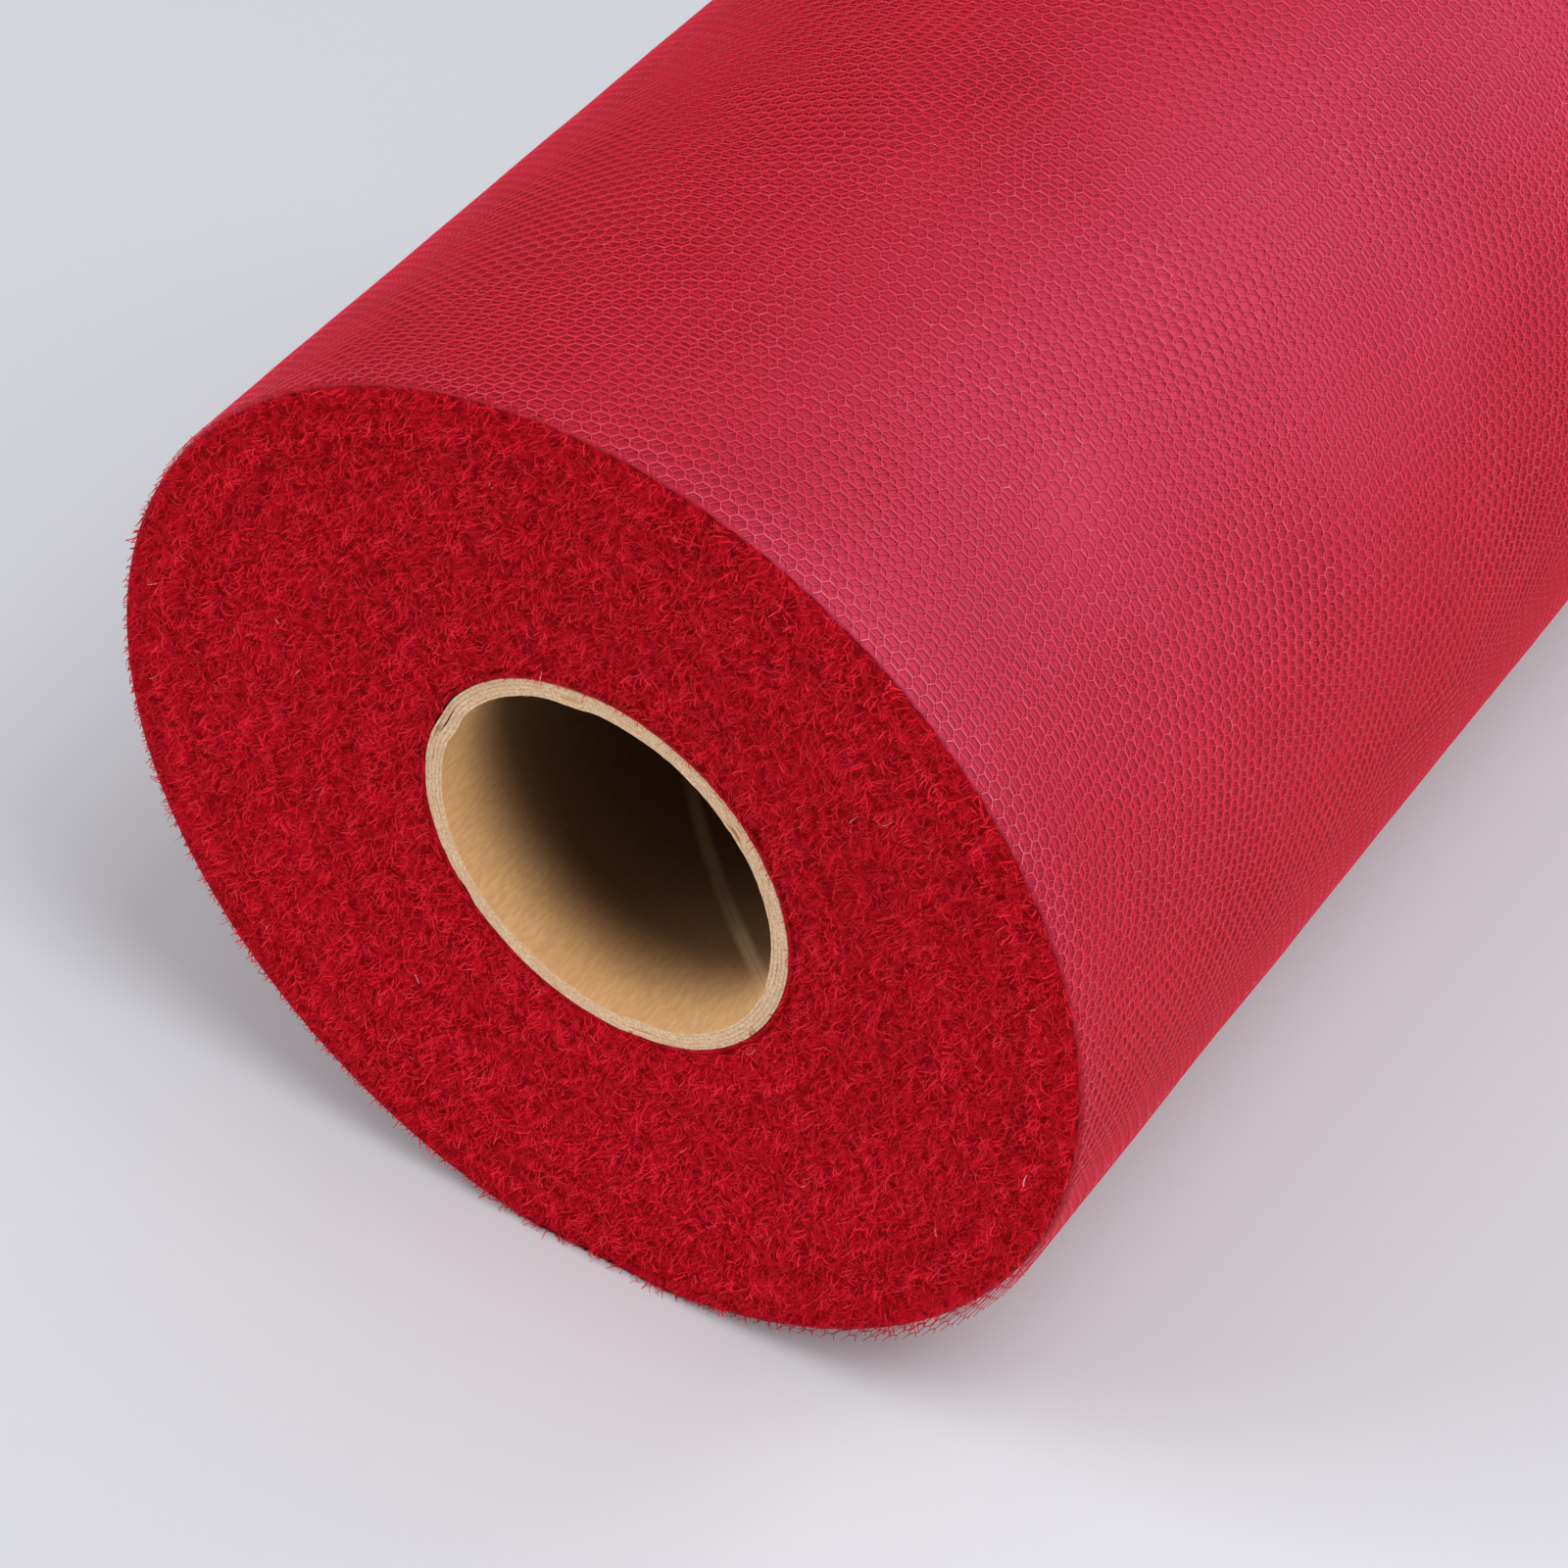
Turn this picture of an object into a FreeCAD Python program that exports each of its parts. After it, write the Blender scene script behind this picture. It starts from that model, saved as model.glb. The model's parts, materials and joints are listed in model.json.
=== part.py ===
import FreeCAD, Part
import math
import os

# A roll of tulle netting wound on a spiral-wound paperboard core, lying on its side.
# +Z is up and the roll's axis runs along Y. The origin is at the middle of the footprint,
# on the surface that the roll lies on. Every size is in millimetres, every angle in degrees,
# and angles round the roll start at +X and grow towards +Z.

# Web of netting
roll_diameter = 100.0         # over the outermost turn
resting_sag = 0.9             # how far the soft roll flattens where it rests
web_width = 152.4             # slit width of the netting, 6 inches
net_thickness = 0.3           # one slack layer of netting
turn_slack = 0.3              # air under the outermost turn and under the loose end
loose_end_length = 44.0       # netting from the fold to the free cut edge
fold_angle = 165.0            # where the loose end starts to lift
fold_gap = 0.3                # room at the fold and past the free edge
rim_land = 3.0                # band of outer layers whose edges stand level with each other

# Core
core_length = 152.4
core_bore = 34.7              # inside diameter
core_recess = 2.9             # how far the core's near end sits behind the outer layers' edge
liner_thickness = 0.25
body_ply_thickness = 0.36
body_ply_count = 3
wrap_thickness = 0.25
glue_line = 0.03              # film between one ply and the next
seam_lead = 95.0              # a butt seam goes once round the core in this length
seam_width = 0.4              # the open joint between two edges of a spiral strip
seam_first_angle = -22.0      # of the liner's seam at the core's near end
seam_stagger = 60.0           # from one ply's seam to the next one's

# Tapes
start_tape_thickness = 0.12
start_tape_width = 15.0       # measured round the core
start_tape_margin = 4.0       # short of each end of the core
start_tape_angle = 90.0       # the middle of the tape
layer_gap = 0.05              # air between netting layers that lie on each other
closing_tape_thickness = 0.08
closing_tape_width = 19.0     # along the roll
closing_tape_on_end = 14.0    # stuck to the loose end
closing_tape_past_end = 12.0  # reaching past the free edge
closing_tape_glue = 0.02

# Worked out from the above
roll_radius = roll_diameter / 2
axis_height = roll_radius - resting_sag
overall_length = core_recess + max(web_width, core_length)
web_near = -overall_length / 2
web_far = web_near + web_width
web_middle = (web_near + web_far) / 2
core_near = web_near + core_recess
core_far = core_near + core_length
inner_far = core_near + web_width
loose_end_span = math.degrees(loose_end_length / roll_radius)
free_edge_angle = fold_angle + loose_end_span
fold_gap_span = math.degrees(fold_gap / roll_radius)

along_y = FreeCAD.Vector(0, 1, 0)


def rod(radius, near, far):
    """A solid rod on the roll's axis, from one y to another."""
    base = FreeCAD.Vector(0, near, axis_height)
    return Part.makeCylinder(radius, far - near, base, along_y)


def tube(inner, outer, near, far):
    """A tube on the roll's axis."""
    return rod(outer, near, far).cut(rod(inner, near, far))


def on_the_roll(radius, angle, y):
    """The point at a radius and an angle round the roll's axis."""
    turn = math.radians(angle)
    return FreeCAD.Vector(radius * math.cos(turn), y, axis_height + radius * math.sin(turn))


def arc_strip(inner, outer, start, end, near, far):
    """A curved strip that follows the roll from one angle to another."""
    middle = (start + end) / 2
    arc_out = Part.Arc(*(on_the_roll(outer, a, near) for a in (start, middle, end)))
    arc_in = Part.Arc(*(on_the_roll(inner, a, near) for a in (end, middle, start)))
    side_end = Part.LineSegment(on_the_roll(outer, end, near), on_the_roll(inner, end, near))
    side_start = Part.LineSegment(on_the_roll(inner, start, near), on_the_roll(outer, start, near))
    edges = [piece.toShape() for piece in (arc_out, side_end, arc_in, side_start)]
    return Part.Face(Part.Wire(edges)).extrude(along_y * (far - near))


def flattened_rod(radius, bottom, near, far):
    """A rod on the roll's axis, cut flat at a height where it rests."""
    margin = roll_diameter
    corner = FreeCAD.Vector(-margin, near - margin, bottom)
    above = Part.makeBox(2 * margin, far - near + 2 * margin, 2 * roll_diameter, corner)
    return rod(radius, near, far).common(above)


def dished_layers(inner, outer, bottom):
    """The wound layers, level with the core inside and drawn towards the near end at the rim."""
    land = outer - rim_land
    outline = [(inner, core_near), (land, web_near), (outer, web_near),
               (outer, web_far), (land, web_far), (inner, inner_far)]
    points = [FreeCAD.Vector(radius, y, axis_height) for radius, y in outline]
    section = Part.Face(Part.makePolygon(points + points[:1]))
    ring = section.revolve(FreeCAD.Vector(0, 0, axis_height), along_y, 360)
    return ring.common(flattened_rod(roll_diameter, bottom, web_near, inner_far))


def seam_cutter(inner, outer, angle):
    """A ribbon wound once round the core every seam_lead, as wide as the open seam.

    It starts a little before the core's near end, where it stands at the given angle,
    and its angle falls as it goes on towards the far end.
    """
    run_out = 2 * seam_width
    lead_in = 360 * run_out / seam_lead
    radius = (inner + outer) / 2
    depth = (outer - inner) / 2 + glue_line / 2
    helix = Part.makeHelix(seam_lead, core_length + 2 * run_out, radius)
    low = FreeCAD.Vector(radius - depth, 0, -seam_width / 2)
    high = FreeCAD.Vector(radius + depth, 0, seam_width / 2)
    corners = [low, FreeCAD.Vector(high.x, 0, low.z), high, FreeCAD.Vector(low.x, 0, high.z), low]
    section = Part.makePolygon(corners)
    ribbon = Part.Wire(helix.Edges).makePipeShell([section], True, True)
    ribbon.rotate(FreeCAD.Vector(), FreeCAD.Vector(0, 0, 1), -angle - lead_in)
    ribbon.rotate(FreeCAD.Vector(), FreeCAD.Vector(1, 0, 0), -90)
    ribbon.translate(FreeCAD.Vector(0, core_near - run_out, axis_height))
    return ribbon


def core_plies():
    """The core's strips from the bore outwards, each wound as a spiral with its own butt seam."""
    layers = [("core_liner_ply", liner_thickness)]
    layers += [(f"core_body_ply_{n + 1}", body_ply_thickness) for n in range(body_ply_count)]
    layers += [("core_outer_wrap", wrap_thickness)]
    plies = {}
    inner = core_bore / 2
    for count, (name, thickness) in enumerate(layers):
        outer = inner + thickness
        seam = seam_cutter(inner, outer, seam_first_angle + count * seam_stagger)
        plies[name] = tube(inner, outer, core_near, core_far).cut(seam)
        inner = outer + glue_line
    return plies, outer


def start_tape(core_radius):
    """Double-sided tape along the core that holds the first turn of netting."""
    half = math.degrees(start_tape_width / 2 / core_radius)
    tape_top = core_radius + start_tape_thickness
    near = core_near + start_tape_margin
    far = core_far - start_tape_margin
    return arc_strip(core_radius, tape_top, start_tape_angle - half, start_tape_angle + half, near, far)


def outer_turn():
    """The last full turn, open where the loose end folds away from it and lies flat again."""
    inside = roll_radius - net_thickness
    sleeve = flattened_rod(roll_radius, 0, web_near, web_far)
    sleeve = sleeve.cut(flattened_rod(inside, net_thickness, web_near, web_far))
    start = fold_angle - fold_gap_span
    end = free_edge_angle + fold_gap_span
    opening = arc_strip(inside - turn_slack, roll_diameter, start, end, web_near, web_far)
    return sleeve.cut(opening)


def closing_tape():
    """Clear tape on the free edge, stepped out where it reaches over the outer turn."""
    near = web_middle - closing_tape_width / 2
    far = web_middle + closing_tape_width / 2
    stuck = roll_radius + closing_tape_glue
    raised = roll_radius + turn_slack
    start = free_edge_angle - math.degrees(closing_tape_on_end / roll_radius)
    end = free_edge_angle + math.degrees(closing_tape_past_end / roll_radius)
    step = free_edge_angle - math.degrees(closing_tape_thickness / roll_radius)
    on_end = arc_strip(stuck, stuck + closing_tape_thickness, start, free_edge_angle, near, far)
    riser = arc_strip(stuck, raised + closing_tape_thickness, step, free_edge_angle, near, far)
    past_end = arc_strip(raised, raised + closing_tape_thickness, step, end, near, far)
    return on_end.fuse([riser, past_end]).removeSplitter()


def build():
    nodes, core_radius = core_plies()
    nodes["start_tape"] = start_tape(core_radius)

    first_inside = core_radius + start_tape_thickness + layer_gap
    first_outside = first_inside + net_thickness
    nodes["net_start_turn"] = tube(first_inside, first_outside, core_near, inner_far)

    under_outer_turn = net_thickness + turn_slack
    nodes["net_wound_layers"] = dished_layers(
        first_outside + layer_gap, roll_radius - under_outer_turn, under_outer_turn)

    nodes["net_outer_turn"] = outer_turn()
    nodes["net_loose_end"] = arc_strip(
        roll_radius - net_thickness, roll_radius, fold_angle, free_edge_angle, web_near, web_far)
    nodes["closing_tape"] = closing_tape()
    return nodes


os.makedirs("parts", exist_ok=True)
for node, shape in build().items():
    if len(shape.Solids) != 1 or not shape.isValid():
        raise SystemExit(f"{node}: {len(shape.Solids)} solids, valid {shape.isValid()}")
    shape.Solids[0].exportStep(f"parts/{node}.step")
    print(f"{node:18} {shape.Volume / 1000:9.3f} cm3")

fold = on_the_roll(roll_radius, fold_angle, web_middle)
print(f"fold line at x {fold.x:.3f}, z {fold.z:.3f}, axis height {axis_height:.3f}")
print(f"netting y {web_near:.3f} to {web_far:.3f}, core y {core_near:.3f} to {core_far:.3f}")
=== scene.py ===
import json
import math

import bpy
import numpy as np
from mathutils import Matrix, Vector, noise


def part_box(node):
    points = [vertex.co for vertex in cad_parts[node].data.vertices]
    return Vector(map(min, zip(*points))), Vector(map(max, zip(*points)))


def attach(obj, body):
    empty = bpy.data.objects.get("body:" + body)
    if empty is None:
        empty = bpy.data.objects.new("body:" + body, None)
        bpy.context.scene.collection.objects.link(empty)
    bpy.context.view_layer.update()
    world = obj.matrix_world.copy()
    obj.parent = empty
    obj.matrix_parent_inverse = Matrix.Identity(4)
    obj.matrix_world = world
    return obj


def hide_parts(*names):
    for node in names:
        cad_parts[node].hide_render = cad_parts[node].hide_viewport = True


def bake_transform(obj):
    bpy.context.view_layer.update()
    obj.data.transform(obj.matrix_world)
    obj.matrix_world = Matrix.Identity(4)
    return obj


# A roll of tulle netting on a paperboard core. Everything is in metres, in the frame's own place.
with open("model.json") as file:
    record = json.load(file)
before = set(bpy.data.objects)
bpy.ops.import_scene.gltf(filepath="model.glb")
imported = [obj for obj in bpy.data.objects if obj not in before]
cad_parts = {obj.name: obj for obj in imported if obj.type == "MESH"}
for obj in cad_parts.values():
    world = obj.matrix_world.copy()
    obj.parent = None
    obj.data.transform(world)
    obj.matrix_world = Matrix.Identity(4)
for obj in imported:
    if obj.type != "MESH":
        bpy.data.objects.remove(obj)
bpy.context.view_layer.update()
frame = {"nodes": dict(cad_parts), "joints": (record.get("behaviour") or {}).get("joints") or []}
print("frame loaded")

mm = 0.001

# The roll's own sizes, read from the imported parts
outerLow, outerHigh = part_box("net_outer_turn")
linerLow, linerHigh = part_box("core_liner_ply")
rollRadius = outerHigh.x
axisHeight = (linerLow.z + linerHigh.z) / 2
rimNear, rimFar = outerLow.y, outerHigh.y
coreNear, coreFar = linerLow.y, linerHigh.y


def partRadii(nodeName):
    points = np.array([v.co for v in frame["nodes"][nodeName].data.vertices])
    reach = np.hypot(points[:, 0], points[:, 2] - axisHeight)
    return float(reach.min()), float(reach.max())


def onRoll(radius, angle, y, lowest=0.0):
    # angle in radians from +X towards +Z; nothing goes below the flat underside
    z = axisHeight + radius * np.sin(angle)
    return np.stack([radius * np.cos(angle), y + 0 * radius, np.maximum(z, lowest)], axis=-1)


woundInner, woundOuter = partRadii("net_wound_layers")
foldPoint = Vector(frame["joints"][0]["pos_m"])
foldAngle = math.atan2(foldPoint.z - axisHeight, foldPoint.x)


# ---- small helpers for node trees and meshes

def newNode(tree, kind, **settings):
    node = tree.nodes.new(kind)
    for name, value in settings.items():
        setattr(node, name, value)
    return node


def feed(tree, socket, value):
    if isinstance(value, bpy.types.NodeSocket):
        tree.links.new(value, socket)
    else:
        socket.default_value = value


def calc(tree, operation, a, b=0.0, c=0.0):
    node = newNode(tree, "ShaderNodeMath", operation=operation)
    for socket, value in zip(node.inputs, (a, b, c)):
        feed(tree, socket, value)
    return node.outputs[0]


def ramp(tree, value, fromLow, fromHigh, toLow=0.0, toHigh=1.0, smooth=True):
    node = newNode(tree, "ShaderNodeMapRange")
    node.interpolation_type = "SMOOTHSTEP" if smooth else "LINEAR"
    for socket, given in zip(node.inputs, (value, fromLow, fromHigh, toLow, toHigh)):
        feed(tree, socket, given)
    return node.outputs[0]


def splitVector(tree, vector):
    node = newNode(tree, "ShaderNodeSeparateXYZ")
    feed(tree, node.inputs[0], vector)
    return node.outputs[:3]


def joinVector(tree, x, y, z):
    node = newNode(tree, "ShaderNodeCombineXYZ")
    for socket, value in zip(node.inputs, (x, y, z)):
        feed(tree, socket, value)
    return node.outputs[0]


def squareSum(tree, a, b):
    return calc(tree, "ADD", calc(tree, "MULTIPLY", a, a), calc(tree, "MULTIPLY", b, b))


def cloud(tree, vector, scale, detail=2.0, roughness=0.5, output=0):
    node = newNode(tree, "ShaderNodeTexNoise")
    feed(tree, node.inputs["Vector"], vector)
    node.inputs["Scale"].default_value = scale
    node.inputs["Detail"].default_value = detail
    node.inputs["Roughness"].default_value = roughness
    return node.outputs[output]


def mixColour(tree, share, a, b):
    node = newNode(tree, "ShaderNodeMix", data_type="RGBA")
    feed(tree, node.inputs[0], share)
    feed(tree, node.inputs[6], a)
    feed(tree, node.inputs[7], b)
    return node.outputs[2]


def hexColour(text):
    parts = [int(text[i:i + 2], 16) / 255 for i in (0, 2, 4)]
    return tuple(c / 12.92 if c <= 0.04045 else ((c + 0.055) / 1.055) ** 2.4 for c in parts) + (1.0,)


def newMaterial(name, **shaderValues):
    material = bpy.data.materials.new(name)
    material.use_nodes = True
    tree = material.node_tree
    shader = tree.nodes["Principled BSDF"]
    for socketName, value in shaderValues.items():
        shader.inputs[socketName.replace("_", " ")].default_value = value
    return material, tree, shader


def addBump(tree, shader, height, distance, strength=1.0):
    node = newNode(tree, "ShaderNodeBump")
    node.inputs["Strength"].default_value = strength
    node.inputs["Distance"].default_value = distance
    feed(tree, node.inputs["Height"], height)
    tree.links.new(node.outputs[0], shader.inputs["Normal"])


def newPiece(name, points, faces, materials=(), smooth=True):
    mesh = bpy.data.meshes.new(name)
    mesh.from_pydata([tuple(p) for p in points], [], [tuple(f) for f in faces])
    for material in materials:
        mesh.materials.append(material)
    mesh.polygons.foreach_set("use_smooth", [smooth] * len(mesh.polygons))
    mesh.update()
    piece = bpy.data.objects.new(name, mesh)
    bpy.context.scene.collection.objects.link(piece)
    return piece


# ---- camera, floor and light

cameraSetup = {
    "lens": 104.0,
    "azimuth": 33.42,
    "elevation": 43.58,
    "fromRim": (3.3101, -4.3859, 5.4506),   # from the middle of the near rim, in roll radii
}


def makeCamera(setup):
    data = bpy.data.cameras.new("camera")
    data.lens = setup["lens"]
    data.sensor_width = 36.0
    data.clip_start = 0.01
    camera = bpy.data.objects.new("camera", data)
    bpy.context.scene.collection.objects.link(camera)
    camera.location = Vector((0, rimNear, axisHeight)) + Vector(setup["fromRim"]) * rollRadius
    turn, rise = math.radians(setup["azimuth"]), math.radians(setup["elevation"])
    back = Vector((math.sin(turn) * math.cos(rise), -math.cos(turn) * math.cos(rise), math.sin(rise)))
    camera.rotation_euler = (-back).to_track_quat("-Z", "Y").to_euler()
    bpy.context.scene.camera = camera


studioSetup = {
    "floorSize": 6.0,
    "floorColour": "cbced3",
    "farFloorColour": "fafbfc",   # painted light: the floor is coloured paler past the pool of light, to make up for the light that falls off there
    "farFloorFrom": (0.35, 1.3),  # where the painted paler floor starts, and where it is all there is
    "backColour": "d3d5d9",       # what the camera sees past the floor
    "skyColour": "f7f9fd",
    "skyParts": [                 # where a soft part of the sky is brightest, and its strength
        ((0.0, 0.0, 1.0), 0.76),
        ((0.66, 0.75, 0.0), 0.26),
        ((-1.0, 0.0, 0.0), 0.26),
    ],
    "lights": [                   # name, place, size, power
        ("keyHigh", (0.42, -0.14, 0.93), 0.50, 3.8),
        ("keyLow", (0.92, -0.27, 0.47), 0.36, 4.25),
        ("backLight", (0.55, 0.62, 0.62), 0.50, 2.6),
        ("leftLight", (-0.80, -0.50, 0.60), 0.80, 6.2),
    ],
}


def areaLight(name, place, size, power):
    data = bpy.data.lights.new(name, "AREA")
    data.shape = "DISK"
    data.size = size
    data.energy = power
    light = bpy.data.objects.new(name, data)
    bpy.context.scene.collection.objects.link(light)
    light.location = place
    light.rotation_euler = (Vector((0, 0, axisHeight)) - Vector(place)).to_track_quat("-Z", "Y").to_euler()


def makeSky(setup):
    # soft light from a few sides, none from below; seen directly it is a plain pale backdrop
    world = bpy.data.worlds.new("studio")
    bpy.context.scene.world = world
    world.use_nodes = True
    tree = world.node_tree
    lit = tree.nodes["Background"]
    lit.inputs[0].default_value = hexColour(setup["skyColour"])
    aim = newNode(tree, "ShaderNodeTexCoord").outputs["Generated"]
    total = 0.0
    for brightest, strength in setup["skyParts"]:
        facing = newNode(tree, "ShaderNodeVectorMath", operation="DOT_PRODUCT")
        feed(tree, facing.inputs[0], aim)
        facing.inputs[1].default_value = brightest
        soft = calc(tree, "POWER", calc(tree, "MAXIMUM", facing.outputs["Value"], 0.0), 2.0)
        total = calc(tree, "MULTIPLY_ADD", soft, strength, total)
    above = calc(tree, "GREATER_THAN", splitVector(tree, aim)[2], 0.0)
    tree.links.new(calc(tree, "MULTIPLY", total, above), lit.inputs[1])
    seen = newNode(tree, "ShaderNodeBackground")
    seen.inputs[0].default_value = hexColour(setup["backColour"])
    choice = newNode(tree, "ShaderNodeMixShader")
    tree.links.new(newNode(tree, "ShaderNodeLightPath").outputs["Is Camera Ray"], choice.inputs[0])
    tree.links.new(lit.outputs[0], choice.inputs[1])
    tree.links.new(seen.outputs[0], choice.inputs[2])
    tree.links.new(choice.outputs[0], tree.nodes["World Output"].inputs["Surface"])


def makeStudio(setup):
    makeSky(setup)
    for name, place, size, power in setup["lights"]:
        areaLight(name, place, size, power)
    half = setup["floorSize"] / 2
    material, tree, shader = newMaterial("tableTop", Roughness=0.7)
    place = newNode(tree, "ShaderNodeTexCoord").outputs["Object"]
    tone = cloud(tree, place, 3.0)
    colour = hexColour(setup["floorColour"])
    paler = tuple(min(1.0, c * 1.03) for c in colour[:3]) + (1.0,)
    colour = mixColour(tree, tone, colour, paler)
    # painted light: the floor colour turns paler away from the roll, past the pool of light
    x, y, _ = splitVector(tree, place)
    reach = calc(tree, "SQRT", squareSum(tree, x, y))
    far = ramp(tree, reach, *setup["farFloorFrom"])
    colour = mixColour(tree, far, colour, hexColour(setup["farFloorColour"]))
    tree.links.new(colour, shader.inputs["Base Color"])
    corners = [(-half, -half, 0), (half, -half, 0), (half, half, 0), (-half, half, 0)]
    floor = newPiece("floor", corners, [(0, 1, 2, 3)], [material], smooth=False)
    bpy.context.scene.view_settings.view_transform = "Standard"


makeCamera(cameraSetup)
makeStudio(studioSetup)
print("camera and studio ready")


# ---- the netting's pattern: six-sided holes, straight threads running round the roll

net = {
    "axialPitch": 1.37 * mm,      # hole to hole along the roll
    "rowsPerTurn": 244,
    "straightShare": 0.66,        # of a row that its straight threads take
    "threadWidth": 0.10 * mm,
    "threadCrown": 0.065 * mm,     # rounds the threads, and was sized with the sheets' area in view
    "wave": 2.0 * mm,             # how far the rows drift round the roll
    "waveLength": 150 * mm,
    "wobble": 0.20 * mm,          # rounds the threads
    "drift": 1.6 * mm,            # of whole patches, round the roll
    "lumps": 0.35 * mm,           # in and out
}
rowPitch = 2 * math.pi * rollRadius / net["rowsPerTurn"]


def hexNetGroup():
    # 1 on a thread and 0 in a hole; the vector is the place on the laid-out web, in metres
    tree = bpy.data.node_groups.new("hexNet", "ShaderNodeTree")
    for name, kind in (("Vector", "NodeSocketVector"), ("Thread Width", "NodeSocketFloat")):
        tree.interface.new_socket(name, in_out="INPUT", socket_type=kind)
    tree.interface.new_socket("Thread", in_out="OUTPUT", socket_type="NodeSocketFloat")
    given = newNode(tree, "NodeGroupInput")
    result = newNode(tree, "NodeGroupOutput")
    pitch, straight = net["axialPitch"], net["straightShare"]
    around, along, _ = splitVector(tree, given.outputs["Vector"])
    row = calc(tree, "DIVIDE", around, rowPitch)
    rowNumber = calc(tree, "FLOOR", row)
    inRow = calc(tree, "SUBTRACT", row, rowNumber)
    shift = calc(tree, "MULTIPLY", rowNumber, 0.5)
    column = calc(tree, "SUBTRACT", calc(tree, "DIVIDE", along, pitch), shift)
    inColumn = calc(tree, "FRACT", calc(tree, "ADD", column, 0.5))
    aside = calc(tree, "ABSOLUTE", calc(tree, "SUBTRACT", inColumn, 0.5))
    legs = calc(tree, "MAXIMUM", ramp(tree, inRow, straight, 1.0, 0.0, 0.5, smooth=False), 0.0)
    away = calc(tree, "MULTIPLY", calc(tree, "ABSOLUTE", calc(tree, "SUBTRACT", aside, legs)), pitch)
    width = given.outputs["Thread Width"]
    thread = ramp(tree, away, calc(tree, "MULTIPLY", width, 0.8), calc(tree, "MULTIPLY", width, 0.3))
    tree.links.new(thread, result.inputs[0])
    return tree


hexNet = hexNetGroup()


def netLayer(tree, webPlace, offset, turn, width):
    # one layer of netting under the others, moved and turned a little from them
    spot = newNode(tree, "ShaderNodeMapping")
    feed(tree, spot.inputs["Vector"], webPlace)
    spot.inputs["Location"].default_value = (offset[0], offset[1], 0)
    spot.inputs["Rotation"].default_value = (0, 0, math.radians(turn))
    node = newNode(tree, "ShaderNodeGroup", node_tree=hexNet)
    tree.links.new(spot.outputs[0], node.inputs["Vector"])
    node.inputs["Thread Width"].default_value = width
    return node.outputs[0]


# painted shade: the net layers seen further down through the holes are coloured darker, the hole darkest and
# the top lightest, for the shade that falls into the stack
woundColours = {
    "hole": "8c0616",
    "deep": "b80f26",
    "middle": "c6162f",
    "top": "cf1c3a",
    # painted shade: the streak colour stands in for shade in fine lengthwise wrinkles
    "streak": "a40a1a",
    # painted sheen: the slack colour is the pale haze of the key light's highlight, painted into the netting
    "slack": "cc5274",
}


# painted sheen: the band round the roll where the pale haze of the key light's highlight is painted in
paintedSheenSector = {
    "middle": 52,                 # degrees round the roll
    "halfWidth": 31,
}


def paintedSheenShare(tree, place):
    # painted sheen: 1 in the band round the roll where the key light's broad highlight is painted in paler, 0
    # well round from there
    x, _, z = splitVector(tree, place)
    angle = calc(tree, "ARCTAN2", calc(tree, "SUBTRACT", z, axisHeight), x)
    away = calc(tree, "SUBTRACT", angle, math.radians(paintedSheenSector["middle"]))
    away = calc(tree, "DIVIDE", away, math.radians(paintedSheenSector["halfWidth"]))
    return calc(tree, "EXPONENT", calc(tree, "MULTIPLY", calc(tree, "MULTIPLY", away, away), -1.0))


def woundSideMaterial():
    material, tree, shader = newMaterial("woundNetting", Roughness=0.6)
    shader.inputs["Specular IOR Level"].default_value = 0.15
    uv = newNode(tree, "ShaderNodeUVMap", uv_map="web").outputs[0]
    drift = cloud(tree, uv, 40.0, 1.0, output=1)
    bent = newNode(tree, "ShaderNodeVectorMath", operation="MULTIPLY_ADD")
    feed(tree, bent.inputs[0], drift)
    bent.inputs[1].default_value = (2.2 * mm, 2.2 * mm, 0)
    feed(tree, bent.inputs[2], uv)
    bent = bent.outputs[0]
    width = net["threadWidth"]
    deep = netLayer(tree, bent, (0.31 * mm, 0.77 * mm), 2.2, width * 1.8)
    middle = netLayer(tree, bent, (0.9 * mm, 0.2 * mm), -1.6, width * 1.5)
    top = netLayer(tree, bent, (0.55 * mm, 1.1 * mm), 0.9, width * 1.3)
    around, along, _ = splitVector(tree, uv)
    lines = joinVector(tree, calc(tree, "MULTIPLY", around, 320.0), calc(tree, "MULTIPLY", along, 7.0), 0.0)
    streaks = cloud(tree, lines, 1.0, 3.0)
    patches = cloud(tree, uv, 25.0, 2.0)
    # painted shade: each layer further down is mixed in darker
    colour = mixColour(tree, deep, hexColour(woundColours["hole"]), hexColour(woundColours["deep"]))
    colour = mixColour(tree, middle, colour, hexColour(woundColours["middle"]))
    colour = mixColour(tree, top, colour, hexColour(woundColours["top"]))
    # painted shade: darker streaks along the roll, for the shade in its fine lengthwise wrinkles
    streakShare = ramp(tree, streaks, 0.48, 0.75, 0.0, 0.45)
    colour = mixColour(tree, streakShare, colour, hexColour(woundColours["streak"]))
    lift = ramp(tree, patches, 0.3, 0.7, 0.0, 0.25)
    colour = mixColour(tree, lift, colour, hexColour(woundColours["top"]))
    # painted sheen: the pale haze of the key light's highlight, mixed into the colour in its band round the
    # roll
    slack = paintedSheenShare(tree, newNode(tree, "ShaderNodeTexCoord").outputs["Object"])
    slack = calc(tree, "MULTIPLY", slack, ramp(tree, patches, 0.2, 0.8, 0.2, 0.4))
    colour = mixColour(tree, slack, colour, hexColour(woundColours["slack"]))
    tree.links.new(colour, shader.inputs["Base Color"])
    height = calc(tree, "ADD", top, calc(tree, "MULTIPLY", middle, 0.6))
    addBump(tree, shader, height, 0.12 * mm, 0.6)
    return material


fibreColours = {
    "gap": "9c0918",
    "dark": "d31529",
    "middle": "f21d35",
    "light": "f63147",
    "rim": "cc0c1e",
}


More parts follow.
